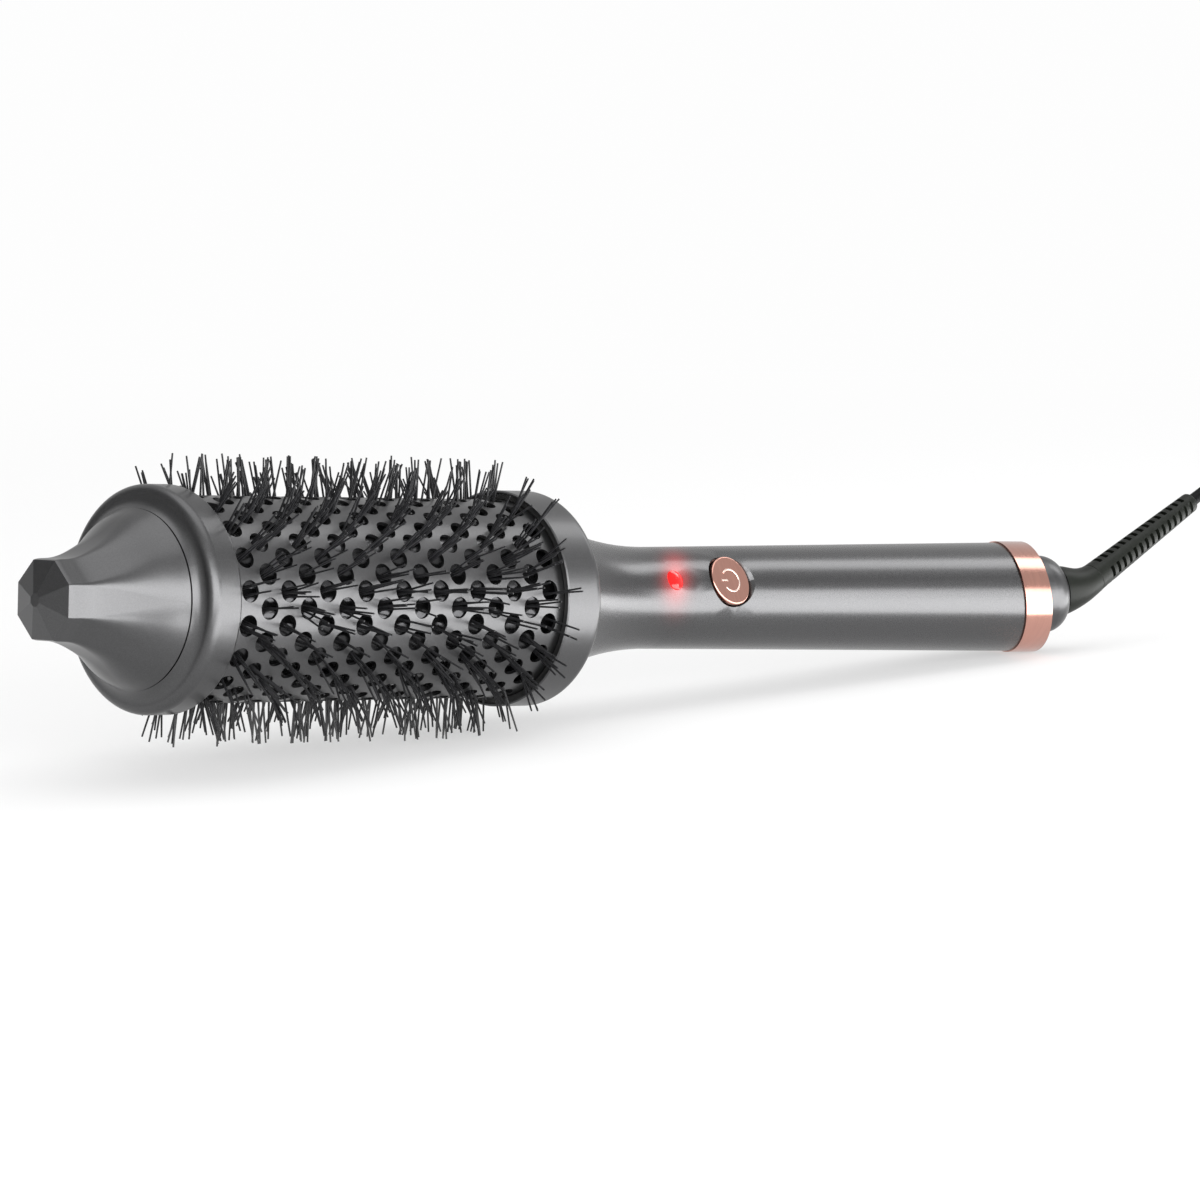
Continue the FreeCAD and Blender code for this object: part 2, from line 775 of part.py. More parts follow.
def strain_relief():
    body = turned(
        "sleeve_body",
        [
            ("0", "0"),
            ("0", "sleeve_root_radius - sleeve_groove"),
            ("sleeve_groove", "sleeve_root_radius"),
            ("sleeve_length - sleeve_tip_round", "sleeve_end_radius", "sleeve_tip_round", -1),
            ("sleeve_length", "sleeve_end_radius - sleeve_tip_round"),
            ("sleeve_length", "0"),
        ],
    )
    margin, tip, span = size("sleeve_slot_margin"), size("sleeve_tip_length"), size("sleeve_slot_span")
    run = size("sleeve_length") - margin - tip - size("sleeve_slot_width")
    step = run / (SLOT_COUNT - STAGGER_SHARE)
    slots = []
    for row in range(SLOT_ROW_COUNT):
        turn = at(angle=size("sleeve_slot_turn") + 360 / SLOT_ROW_COUNT * row)
        start = margin + STAGGER_SHARE * step * (row % 2)
        for i in range(SLOT_COUNT):
            place = turn.multiply(at(start + step * i, -span / 2, size("sleeve_core_radius")))
            sizes = ("sleeve_slot_width", "sleeve_slot_span", "sleeve_root_radius")
            slots.append(block(f"slot_{row}_{i}", *sizes, place))
    compound = doc.addObject("Part::Compound", "sleeve_slots")
    compound.Links = slots
    keep("strain_relief", cut("strain_relief", body, compound), sleeve_frame())


# Indicator light and power button


def indicator():
    x = size("light_x")
    keep(
        "led_lens",
        turned(
            "led_lens",
            [
                ("lens_flange_bottom", "0"),
                ("lens_flange_bottom", "lens_flange_radius"),
                ("lens_flange_top", "lens_flange_radius"),
                ("lens_flange_top", "lens_radius"),
                ("neck_radius", "lens_radius", "lens_crown_radius", -1),
                ("neck_radius + lens_crown", "0"),
            ],
        ),
        out_of_button(x, 0),
    )
    height = "lens_flange_bottom - board_top"
    source = rod("indicator_led", "light_source_radius", height, FreeCAD.Placement())
    keep("indicator_led", source, at(x, 0, size("board_top")))


def power_button():
    keep(
        "power_button",
        turned(
            "power_button",
            [
                ("button_flange_bottom", "0"),
                ("button_flange_bottom", "button_flange_radius"),
                ("button_flange_top", "button_flange_radius"),
                ("button_flange_top", "button_radius"),
                ("button_face_z - button_edge_round", "button_radius", "button_edge_round", -1),
                ("button_face_z", "button_radius - button_edge_round"),
                ("button_face_z", "0"),
            ],
        ),
        out_of_button(size("button_x"), 0),
    )
    length = "button_flange_bottom - plunger_bottom"
    plunger = rod("switch_plunger", "plunger_radius", length, FreeCAD.Placement())
    keep("switch_plunger", plunger, at(size("button_x"), 0, size("plunger_bottom")))


# Electronics


def electronics():
    bed, top = size("chassis_top_z"), size("board_top")
    start, end = size("board_start_x"), size("board_end_x")
    tray_start, tray_radius = size("chassis_start_x"), size("chassis_radius")
    screw_places = [start + 2 * size("screw_margin"), end - size("screw_margin")]
    hole = "screw_shank_radius + screw_clearance"
    length = "chassis_end_x - chassis_start_x"
    tray_rod = rod("chassis_rod", "chassis_radius", length, along_x(tray_start))
    above = at(tray_start, -tray_radius, bed)
    upper = block("chassis_upper", length, "2 * chassis_radius", "chassis_radius - chassis_top_z", above)
    well_foot = bed - size("screw_shank_length")
    depth = "screw_shank_length + overrun"
    wells = [rod(f"chassis_hole_{i}", hole, depth, at(x, 0, well_foot)) for i, x in enumerate(screw_places)]
    keep("handle_chassis", cut("handle_chassis", tray_rod, joined("chassis_cuts", [upper, *wells])))
    corner = at(start, -size("board_width") / 2, bed)
    plate = block("board_plate", "board_end_x - board_start_x", "board_width", "board_thickness", corner)
    holes = [rod(f"board_hole_{i}", hole, depth, at(x, 0, well_foot)) for i, x in enumerate(screw_places)]
    keep("control_board", cut("control_board", plate, joined("board_holes", holes)))
    screws = []
    for i, x in enumerate(screw_places):
        head = rod(f"screw_head_{i}", "screw_head_radius", "screw_head_height", at(x, 0, top))
        foot = at(x, 0, bed - size("screw_depth"))
        shank = rod(f"screw_shank_{i}", "screw_shank_radius", "screw_depth + board_thickness", foot)
        screws.append(joined(f"screw_{i}", [head, shank]))
    compound = doc.addObject("Part::Compound", "board_screws")
    compound.Links = screws
    keep("board_screws", compound)
    for name, x, length, width, height in (
        ("push_switch", size("button_x"), "switch_width", "switch_width", "switch_height"),
        ("filter_capacitor", size("capacitor_x"), "capacitor_length", "capacitor_width", "capacitor_height"),
        ("triac", size("triac_x"), "triac_length", "triac_width", "triac_height"),
    ):
        thing = block(name, length, width, height, FreeCAD.Placement())
        keep(name, thing, at(x - value(length) / 2, -value(width) / 2, top))


# Cord, coil and plug, on the floor's frame


def lay(name, thing):
    """Files a piece of the cord, which is placed on the floor and not in the brush."""
    thing.Label = name
    laid[name] = thing
    return thing


def tube(name, route):
    """A round tube along straight runs that arcs join, each as large as its two runs allow."""
    points = [FreeCAD.Vector(*p) for p in route]
    edges, radii = [], []
    last = points[0]
    for before, here, after in zip(points, points[1:], points[2:]):
        back, ahead = (before - here), (after - here)
        reach = ARC_SHARE * min(back.Length, ahead.Length)
        half_turn = (math.pi - back.getAngle(ahead)) / 2
        radius = reach / math.tan(half_turn)
        radii.append(round(radius, 1))
        start, end = here + back.normalize() * reach, here + ahead.normalize() * reach
        inward = (back + ahead).normalize()
        middle = here + inward * (radius / math.cos(half_turn) - radius)
        edges.append(Part.LineSegment(last, start).toShape())
        edges.append(Part.Arc(start, middle, end).toShape())
        last = end
    edges.append(Part.LineSegment(last, points[-1]).toShape())
    path = Part.Wire(edges)
    radius = size("cord_diameter") / 2
    profile = Part.Wire(Part.makeCircle(radius, points[0], points[1] - points[0]))
    solid = path.makePipeShell([profile], True, False)
    share = solid.Volume / (math.pi * radius**2 * path.Length)
    print(f"{name}: length {path.Length:.1f}, volume share {share:.4f}, radii {radii}")
    return lay(name, shaped(name, solid))


def coil_stops():
    """Radius and height at the end of each half turn: in, up and out again, in four layers."""
    outer, half_step = size("coil_outer_radius"), size("coil_step") / 2
    lift = size("cord_diameter") / 2 + size("tie_thickness") + size("tie_clearance")
    stops = []
    for layer in range(4):
        height = lift + layer * size("coil_layer_height")
        radii = [outer - half_step * i for i in range(COIL_HALF_TURNS + 1)]
        if layer % 2:
            radii.reverse()
        if layer:
            inside = -1 if layer % 2 else 1
            stops.append((radii[0] + inside * size("coil_reversal_step"), height))
        stops += [(radius, height) for radius in radii]
    return stops


def coil_arcs():
    """The half turns of the coil, each a half circle from one side of it to the other."""
    x = size("coil_centre_x")
    spots = [
        FreeCAD.Vector(x, radius * (1 if i % 2 else -1), height)
        for i, (radius, height) in enumerate(coil_stops())
    ]
    arcs = []
    for i, (start, end) in enumerate(zip(spots, spots[1:])):
        bulge = X_AXIS * ((end - start).Length / 2) * (-1 if i % 2 else 1)
        arcs.append(Part.Arc(start, (start + end) * 0.5 + bulge, end))
    return arcs


def cord_coil():
    thick = size("cord_diameter")
    arcs = [arc.toShape() for arc in coil_arcs()]
    start, end = arcs[0].Vertexes[0].Point, arcs[-1].Vertexes[-1].Point
    lead_in = Part.LineSegment(start - X_AXIS * thick, start).toShape()
    lead_out = Part.LineSegment(end, end + X_AXIS * thick).toShape()
    path = Part.Wire([lead_in, *arcs, lead_out])
    profile = Part.Wire(Part.makeCircle(thick / 2, start - X_AXIS * thick, X_AXIS))
    solid = path.makePipeShell([profile], True, False)
    points = [p for arc in arcs for p in arc.discretize(GAP_SAMPLES)[:-1]]
    near = GAP_SAMPLES // 3
    gap = min(
        (points[i] - points[j]).Length
        for i in range(len(points))
        for j in range(i + near, len(points))
    )
    share = solid.Volume / (math.pi * thick**2 / 4 * path.Length)
    print(f"coil: length {path.Length:.1f}, volume share {share:.4f}, least gap {gap - thick:.2f}")
    lay("cord_coil", shaped("cord_coil", solid))
    return start - X_AXIS * thick, end + X_AXIS * thick


def cord_tie():
    """A strap round the turns on the far side of the coil."""
    thick, clear, width = size("tie_thickness"), size("tie_clearance"), size("tie_width")
    half, turn_in = size("cord_diameter") / 2, size("coil_reversal_step") / 2
    outer = size("coil_outer_radius")
    inner = outer - COIL_HALF_TURNS * size("coil_step") / 2
    reach = math.sqrt((inner - turn_in - half - clear) ** 2 - (turn_in + width / 2) ** 2)
    near = size("coil_centre_x") + reach
    far = size("coil_centre_x") + outer + turn_in + half + clear
    tall = 3 * size("coil_layer_height") + 2 * half + 2 * clear
    foot = FreeCAD.Vector(near - thick, -width / 2, 0)
    ring = Part.makeBox(far - near + 2 * thick, width, tall + 2 * thick, foot)
    hole = Part.makeBox(far - near, width, tall, FreeCAD.Vector(near, -width / 2, thick))
    corners = [e for e in ring.Edges if e.BoundBox.YLength > width / 2]
    inner_corners = [e for e in hole.Edges if e.BoundBox.YLength > width / 2]
    rounded = ring.makeFillet(clear + thick, corners).cut(hole.makeFillet(clear, inner_corners))
    lay("cord_tie", shaped("cord_tie", rounded))


def plug():
    height, width, length = size("plug_height"), size("plug_width"), size("plug_length")
    neck_length = size("plug_neck_length")
    x, y, z = size("plug_x"), TAIL_ROUTE[-1][1], height / 2
    body = Part.makeBox(length, width, height, FreeCAD.Vector(x + neck_length, y - width / 2, 0))
    body = body.makeFillet(size("plug_round"), body.Edges)
    neck = Part.makeCone(
        size("plug_neck_radius"),
        size("plug_neck_radius") + size("plug_round") / 2,
        neck_length,
        FreeCAD.Vector(x, y, z),
        X_AXIS,
    )
    lay("plug_body", shaped("plug_body", body.fuse(neck)))
    blades = [
        Part.makeBox(
            size("blade_length"),
            size("blade_thickness"),
            size("blade_width"),
            FreeCAD.Vector(
                x + neck_length + length,
                y + side * size("blade_spacing") / 2 - size("blade_thickness") / 2,
                z - size("blade_width") / 2,
            ),
        )
        for side in (-1, 1)
    ]
    lay("plug_blades", shaped("plug_blades", Part.makeCompound(blades)))
    return x, y, z


# How the brush lies


def lying_pose():
    """The brush rolled and tilted so that the rear tufts of two rows and the ring's rear edge are
    on the floor."""
    pitch = 360 / ROW_COUNT
    roll = ROLL_ROWS * pitch + size("row_turn")
    side = math.radians(pitch / 2)
    tuft_x = hole_places(1)[-1] + size("tuft_tip_width") / 4
    tuft_drop = size("tuft_tip_radius") * math.cos(side)
    tuft_drop += size("tuft_tip_width") / 2 * math.cos(math.pi / 6) * math.sin(side)
    under = -size("ring_radius") * math.cos(math.radians(roll))
    ring_x = size("ring_rear_x") - math.tan(math.radians(size("mitre_angle"))) * under
    tilt = math.atan2(tuft_drop - size("ring_radius"), ring_x - tuft_x)
    rise = tuft_drop * math.cos(tilt) + tuft_x * math.sin(tilt)
    return at(0, 0, rise, Y_AXIS, math.degrees(tilt)).multiply(at(angle=roll))


tip_nose()
front_cap()
barrel()
bristle_drum()
bristle_strips()
barrel_collar()
heater()
handle_shell()
accent_ring()
end_cap()
swivel_hub()
boot_elbow()
strain_relief()
indicator()
power_button()
electronics()
doc.recompute()
for thing in doc.Objects:
    if "Invalid" in thing.State or "Error" in thing.State:
        raise RuntimeError(f"{thing.Label} did not build: {thing.State}")

# The origin is under the middle of the brush, on the floor.
lie = lying_pose()
box = FreeCAD.BoundBox()
for name, thing in parts.items():
    thing.Placement = lie.multiply(frames[name])
    box.add(thing.Shape.optimalBoundingBox(False, False))
lie = at(-box.Center.x, -box.Center.y, -box.ZMin).multiply(lie)
for name, thing in parts.items():
    thing.Placement = lie.multiply(frames[name])

sleeve = lie.multiply(sleeve_frame())
exit_point = sleeve.multVec(FreeCAD.Vector(size("sleeve_length"), 0, 0))
out = sleeve.Rotation.multVec(X_AXIS)
coil_in, coil_out = cord_coil()
tube("cord", [exit_point, exit_point + out * size("first_run"), *CORD_ROUTE, coil_in])
tube("cord_tail", [coil_out, *TAIL_ROUTE, plug()])
cord_tie()

os.makedirs("parts", exist_ok=True)
for name, thing in {**parts, **laid}.items():
    shape = thing.Shape
    if shape.isNull() or not shape.isValid():
        raise RuntimeError(f"{name} is not a valid solid")
    shape.exportStep(f"parts/{name}.step")
print(f"pose {lie}, cord exit {exit_point}, box {box}")
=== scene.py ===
"""Looks of the infrared styling brush: finishes, bristles, button sign, lead and studio."""

import json
import logging
import math
import random
from dataclasses import dataclass, field, replace
from enum import Enum

import bmesh
import bpy
from mathutils import Matrix, Vector


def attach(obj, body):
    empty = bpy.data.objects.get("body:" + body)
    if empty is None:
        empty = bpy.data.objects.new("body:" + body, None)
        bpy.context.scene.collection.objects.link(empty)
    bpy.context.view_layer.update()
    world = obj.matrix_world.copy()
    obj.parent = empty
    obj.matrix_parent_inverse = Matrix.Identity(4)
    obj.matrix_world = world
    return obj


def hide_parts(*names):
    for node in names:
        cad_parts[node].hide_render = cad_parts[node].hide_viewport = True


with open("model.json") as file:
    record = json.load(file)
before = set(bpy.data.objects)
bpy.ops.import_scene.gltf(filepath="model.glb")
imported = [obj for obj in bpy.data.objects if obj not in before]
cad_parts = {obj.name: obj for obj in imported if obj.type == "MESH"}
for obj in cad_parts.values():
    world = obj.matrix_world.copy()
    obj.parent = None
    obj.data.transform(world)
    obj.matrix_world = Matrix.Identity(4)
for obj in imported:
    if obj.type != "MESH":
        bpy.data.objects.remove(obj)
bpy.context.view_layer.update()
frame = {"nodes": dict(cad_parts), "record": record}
LOG = logging.getLogger("styling_brush")
Triple = tuple[float, float, float]
MM = 0.001
UPWARD = Vector((0.0, 0.0, 1.0))

COAT_ROUGHNESS = 0.12
SPUN_STRETCH = (1.0, 0.05, 0.05)
NOISE_DETAIL = 4.0
TONE_SPAN = (0.3, 0.7)
LEAST_ROUGHNESS = 0.02


class Grain(Enum):
    """The small-scale texture that a finish shows close up."""

    FLAKE = "metal flake under lacquer"
    SPUN = "fine turning marks"
    MOULDED = "fine moulded texture"
    RUBBER = "soft matt texture"
    SMOOTH = "polished with faint haze"


@dataclass(frozen=True)
class Finish:
    """A procedural finish on Object coordinates.

    Attributes:
        name: Material name.
        colour: Base colour, linear.
        metallic: Metallic share.
        roughness: Middle roughness.
        grain: Small-scale texture.
        grain_size: Size of the texture's features in metres.
        colour_shift: How far the texture moves the colour, as a share.
        roughness_shift: How far the texture moves the roughness.
        bump: Height of the texture in metres.
        coat: Weight of a clear coat.
        glow: Strength of the finish's own light.
        transmission: Share of light let through.
        specular: Level of the plain reflection of a finish that isn't metal.
    """

    name: str
    colour: Triple
    metallic: float
    roughness: float
    grain: Grain
    grain_size: float = 0.0006
    colour_shift: float = 0.08
    roughness_shift: float = 0.05
    bump: float = 0.00001
    coat: float = 0.0
    glow: float = 0.0
    transmission: float = 0.0
    specular: float = 0.5

    def material(self) -> bpy.types.Material:
        """Builds the material.

        Returns:
            The finished material.
        """
        made = bpy.data.materials.new(self.name)
        made.use_nodes = True
        tree = made.node_tree
        shader = tree.nodes["Principled BSDF"]
        shader.inputs["Metallic"].default_value = self.metallic
        shader.inputs["Coat Weight"].default_value = self.coat
        shader.inputs["Coat Roughness"].default_value = COAT_ROUGHNESS
        shader.inputs["Transmission Weight"].default_value = self.transmission
        shader.inputs["Specular IOR Level"].default_value = self.specular
        if self.glow:
            shader.inputs["Emission Color"].default_value = (*self.colour, 1.0)
            shader.inputs["Emission Strength"].default_value = self.glow
        self._texture(tree, shader)
        return made

    def _texture(self, tree: bpy.types.NodeTree, shader: bpy.types.Node) -> None:
        """Adds the grain's colour, roughness and bump.

        Args:
            tree: The material's node tree.
            shader: Its Principled shader.
        """
        place = tree.nodes.new("ShaderNodeTexCoord")
        stretch = tree.nodes.new("ShaderNodeMapping")
        if self.grain is Grain.SPUN:
            stretch.inputs["Scale"].default_value = SPUN_STRETCH
        tree.links.new(place.outputs["Object"], stretch.inputs["Vector"])
        if self.grain is Grain.FLAKE:
            texture = tree.nodes.new("ShaderNodeTexVoronoi")
            value = texture.outputs["Color"]
        else:
            texture = tree.nodes.new("ShaderNodeTexNoise")
            texture.inputs["Detail"].default_value = NOISE_DETAIL
            value = texture.outputs["Fac"]
        texture.inputs["Scale"].default_value = 1.0 / self.grain_size
        tree.links.new(stretch.outputs["Vector"], texture.inputs["Vector"])
        tone = tree.nodes.new("ShaderNodeValToRGB")
        dark, pale = tone.color_ramp.elements
        low, high = 1.0 - self.colour_shift, 1.0 + self.colour_shift
        dark.color = (*(c * low for c in self.colour), 1.0)
        pale.color = (*(min(c * high, 1.0) for c in self.colour), 1.0)
        dark.position, pale.position = TONE_SPAN
        tree.links.new(value, tone.inputs["Fac"])
        tree.links.new(tone.outputs["Color"], shader.inputs["Base Color"])
        rough = tree.nodes.new("ShaderNodeMapRange")
        rough.inputs["To Min"].default_value = max(self.roughness - self.roughness_shift, LEAST_ROUGHNESS)
        rough.inputs["To Max"].default_value = min(self.roughness + self.roughness_shift, 1.0)
        tree.links.new(value, rough.inputs["Value"])
        tree.links.new(rough.outputs["Result"], shader.inputs["Roughness"])
        relief = tree.nodes.new("ShaderNodeBump")
        relief.inputs["Distance"].default_value = self.bump
        relief.inputs["Strength"].default_value = 1.0
        tree.links.new(value, relief.inputs["Height"])
        tree.links.new(relief.outputs["Normal"], shader.inputs["Normal"])


GUNMETAL = Finish(
    "gunmetal_paint",
    (0.092, 0.092, 0.094),
    metallic=1.0,
    roughness=0.35,
    grain=Grain.FLAKE,
    grain_size=0.00012,
    colour_shift=0.08,
    roughness_shift=0.03,
    bump=0.0000003,
    coat=0.1,
)
HANDLE = replace(GUNMETAL, name="handle_paint", roughness=0.27)
ROSE_GOLD = Finish(
    "rose_gold",
    (0.54, 0.285, 0.23),
    metallic=1.0,
    roughness=0.17,
    grain=Grain.SPUN,
    grain_size=0.0004,
    colour_shift=0.05,
    roughness_shift=0.04,
    bump=0.000001,
)
NYLON = Finish(
    "bristle_nylon",
    (0.012, 0.012, 0.013),
    metallic=0.0,
    roughness=0.36,
    grain=Grain.MOULDED,
    grain_size=0.0008,
    colour_shift=0.35,
    roughness_shift=0.08,
    specular=0.25,
)
DRUM = Finish(
    "drum_gloss",
    (0.045, 0.045, 0.047),
    metallic=0.9,
    roughness=0.16,
    grain=Grain.SMOOTH,
    grain_size=0.003,
    colour_shift=0.2,
    roughness_shift=0.05,
)
BOOT = Finish(
    "boot_rubber",
    (0.005, 0.006, 0.0045),
    metallic=0.0,
    roughness=0.42,
    grain=Grain.RUBBER,
    grain_size=0.0004,
    colour_shift=0.2,
    roughness_shift=0.08,
    specular=0.15,
)
LEAD = Finish(
    "lead_rubber",
    (0.003, 0.003, 0.003),
    metallic=0.0,
    roughness=0.45,
    grain=Grain.RUBBER,
    grain_size=0.0005,
    colour_shift=0.2,
    roughness_shift=0.08,
    specular=0.06,
)
LENS = Finish(
    "red_lens",
    (0.72, 0.002, 0.002),
    metallic=0.0,
    roughness=0.09,
    grain=Grain.SMOOTH,
    grain_size=0.002,
    colour_shift=0.05,
    roughness_shift=0.03,
    bump=0.0,
    coat=0.15,
    glow=0.75,
    specular=0.4,
)
INSULATOR = Finish(
    "insulator_black", (0.012, 0.012, 0.012), metallic=0.0, roughness=0.35, grain=Grain.MOULDED
)
ALUMINIUM = Finish("heater_metal", (0.6, 0.6, 0.6), metallic=1.0, roughness=0.35, grain=Grain.SPUN)
FILM = Finish("amber_film", (0.45, 0.22, 0.04), metallic=0.0, roughness=0.25, grain=Grain.SMOOTH)
STONE = Finish("heater_stone", (0.16, 0.155, 0.15), metallic=0.0, roughness=0.8, grain=Grain.MOULDED)
BEAD = Finish(
    "sensor_bead", (0.7, 0.45, 0.2), metallic=0.0, roughness=0.1, grain=Grain.SMOOTH, transmission=0.6
)
STEEL = Finish("plain_steel", (0.55, 0.55, 0.56), metallic=1.0, roughness=0.3, grain=Grain.SPUN)
BOARD = Finish("board_lacquer", (0.015, 0.13, 0.05), metallic=0.0, roughness=0.35, grain=Grain.SMOOTH)
MOULDING = Finish("inner_moulding", (0.05, 0.05, 0.05), metallic=0.0, roughness=0.5, grain=Grain.MOULDED)
CASE = Finish("capacitor_case", (0.6, 0.4, 0.05), metallic=0.0, roughness=0.35, grain=Grain.MOULDED)
BRASS = Finish("blade_metal", (0.68, 0.52, 0.26), metallic=1.0, roughness=0.25, grain=Grain.SPUN)
SIGN = Finish("sign_inlay", (0.95, 0.74, 0.66), metallic=1.0, roughness=0.24, grain=Grain.SMOOTH)

NODE_FINISHES: dict[Finish, tuple[str, ...]] = {
    GUNMETAL: ("tip_nose", "front_cap", "barrel", "barrel_collar", "end_cap"),
    HANDLE: ("handle_shell",),
    ROSE_GOLD: ("accent_ring", "power_button"),
    DRUM: ("bristle_drum",),
    NYLON: ("bristle_strips",),
    INSULATOR: ("rear_insulator_ring",),
    BOOT: ("boot_elbow", "strain_relief"),
    LEAD: ("cord", "cord_coil", "cord_tail", "cord_tie", "plug_body"),
    LENS: ("led_lens", "indicator_led"),
    ALUMINIUM: ("heater_core",),
    FILM: ("heater_insulation",),
    STONE: ("heater_plates",),
    BEAD: ("temperature_sensor",),
    STEEL: ("thermal_fuse", "board_screws"),
    BOARD: ("control_board",),
    MOULDING: ("handle_chassis", "swivel_contacts", "swivel_hub", "push_switch", "triac", "switch_plunger"),
    CASE: ("filter_capacitor",),
    BRASS: ("plug_blades",),
}


def record_entry(entries: list[dict], name: str) -> dict:
    """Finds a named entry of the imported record.

    Args:
        entries: One of the record's lists, such as its joints.
        name: The entry's name.

    Returns:
        The entry.
    """
    return next(entry for entry in entries if entry["name"] == name)


def math_socket(
    tree: bpy.types.NodeTree,
    operation: str,
    first: bpy.types.NodeSocket | float,
    second: bpy.types.NodeSocket | float,
) -> bpy.types.NodeSocket:
    """Adds a Math node.

    Args:
        tree: The node tree to add to.
        operation: The node's operation.
        first: Its first value, a socket or a number.
        second: Its second value.

    Returns:
        The socket of its result.
    """
    node = tree.nodes.new("ShaderNodeMath")
    node.operation = operation
    for slot, value in zip(node.inputs, (first, second)):
        if isinstance(value, bpy.types.NodeSocket):
            tree.links.new(value, slot)
        else:
            slot.default_value = value
    return node.outputs["Value"]


@dataclass
class BrushPose:
    """Where the brush lies: its own frame has X along the brush and Z out of the button.

    Attributes:
        grip_x: Where along the brush the record's grip mount is.
        matrix: From the brush's frame to the row's.
    """

    grip_x: float = 262.0 * MM
    matrix: Matrix = field(init=False)

    def __post_init__(self) -> None:
        """Works the frame out from the record's grip and button joint."""
        grip = record_entry(frame["record"]["mounts"], "hand_grip")
        press = record_entry(frame["record"]["behaviour"]["joints"], "power_press")
        along = Vector(grip["axis"]).normalized()
        outward = -Vector(press["axis"]).normalized()
        side = outward.cross(along)
        turn = Matrix((along, side, outward)).transposed().to_4x4()
        self.matrix = Matrix.Translation(Vector(grip["pos_m"]) - along * self.grip_x) @ turn

    def place(self, x: float, y: float = 0.0, z: float = 0.0) -> Vector:
        """Takes a point of the brush's frame to the row's frame.

        Args:
            x: How far along the brush it is.
            y: How far to the side.
            z: How far out on the button's side.

        Returns:
            The point in the row's frame.
        """
        return self.matrix @ Vector((x, y, z))


def mesh_piece(
    name: str, shape: bmesh.types.BMesh, finish: bpy.types.Material, body: str
) -> bpy.types.Object:
    """Makes an object from a bmesh, finishes it and puts it on its body.

    Args:
        name: The piece's name.
        shape: Its mesh, which is freed.
        finish: Its material.
        body: The CAD body that carries it.

    Returns:
        The piece.
    """
    mesh = bpy.data.meshes.new(name)
    shape.to_mesh(mesh)
    shape.free()
    mesh.materials.append(finish)
    piece = bpy.data.objects.new(name, mesh)
    bpy.context.scene.collection.objects.link(piece)
    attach(piece, body)
    return piece


@dataclass
class Bristles:
    """Filaments that stand in every hole of the barrel.

    Attributes:
        pose: The brush's frame.
        rows: Rows of holes round the barrel.
        long_row: Holes in a long row; a short one has one less.
        row_turn: How far the first row is turned from the button, in degrees.
        first_x: The first hole of a long row.
        pitch: Distance between the holes of a row.
        root_radius: Where the filaments start, on the drum.
        tip_radius: How far they reach.
        tip_loss: How much shorter the shortest ones are.
        thickness: Diameter of a filament at its root.
        tip_share: Radius of its tip as a share of that diameter.
        sides: Sides of its section.
        spread: How far a filament stands from the middle of its hole.
        lean: Usual lean of a filament from its tuft, in radians.
        tuft_lean: Usual lean of a tuft, in radians.
        count: Fewest and most filaments in a hole.
        seed: Start of the random draws.
    """

    pose: BrushPose
    rows: int = 38
    long_row: int = 9
    row_turn: float = -2.96
    first_x: float = 43.1 * MM
    pitch: float = 11.91 * MM
    root_radius: float = 20.6 * MM
    tip_radius: float = 34.2 * MM
    tip_loss: float = 1.8 * MM
    thickness: float = 0.62 * MM
    tip_share: float = 0.36
    sides: int = 5
    spread: float = 1.05 * MM
    lean: float = 0.085
    tuft_lean: float = 0.075
    count: tuple[int, int] = (2, 5)
    seed: int = 38

    def hole_places(self, row: int) -> list[float]:
        """Says where along the brush the holes of a row are.

        Args:
            row: The row's number.

        Returns:
            A place for each hole.
        """
        short = row % 2
        start = self.first_x + short * self.pitch / 2
        return [start + self.pitch * i for i in range(self.long_row - short)]

    def _filament(
        self, shape: bmesh.types.BMesh, hole: Matrix, lean: tuple[float, float], chance: random.Random
    ) -> None:
        """Adds one tapered filament to a hole, no longer than the floor allows.

        Args:
            shape: The mesh to add to.
            hole: The hole's frame, with Z outwards from the brush's axis.
            lean: The lean of its tuft round X and Y.
            chance: The seeded source of spread.
        """
        angle, off = chance.uniform(0.0, 2.0 * math.pi), self.spread * math.sqrt(chance.random())
        lean_x, lean_y = (chance.gauss(middle, self.lean) for middle in lean)
        length = self.tip_radius - chance.uniform(0.0, self.tip_loss) - self.root_radius
        foot = Matrix.Translation((off * math.cos(angle), off * math.sin(angle), self.root_radius))
        tilt = Matrix.Rotation(lean_x, 4, "X") @ Matrix.Rotation(lean_y, 4, "Y")
        place = hole @ foot @ tilt
        fall = -(place.to_3x3() @ UPWARD).z
        if fall > 0.0:
            length = min(length, (place.translation.z - self.thickness / 2) / fall)
        bmesh.ops.create_cone(
            shape,
            cap_ends=True,
            segments=self.sides,
            radius1=self.thickness / 2,
            radius2=self.thickness * self.tip_share,
            depth=length,
            matrix=place @ Matrix.Translation((0.0, 0.0, length / 2)),
        )

    def build(self, finish: bpy.types.Material) -> bpy.types.Object:
        """Builds all the filaments.

        Args:
            finish: Their material.

        Returns:
            The piece.
        """
        chance = random.Random(self.seed)
        shape = bmesh.new()
        for row in range(self.rows):
            angle = 360.0 / self.rows * row + self.row_turn
            turn = Matrix.Rotation(math.radians(angle), 4, "X")
            for x in self.hole_places(row):
                hole = self.pose.matrix @ Matrix.Translation((x, 0.0, 0.0)) @ turn
                lean = chance.gauss(0.0, self.tuft_lean), chance.gauss(0.0, self.tuft_lean)
                for _ in range(chance.randint(*self.count)):
                    self._filament(shape, hole, lean, chance)
        piece = mesh_piece("bristles", shape, finish, "brush")
        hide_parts("bristle_strips")
        return piece


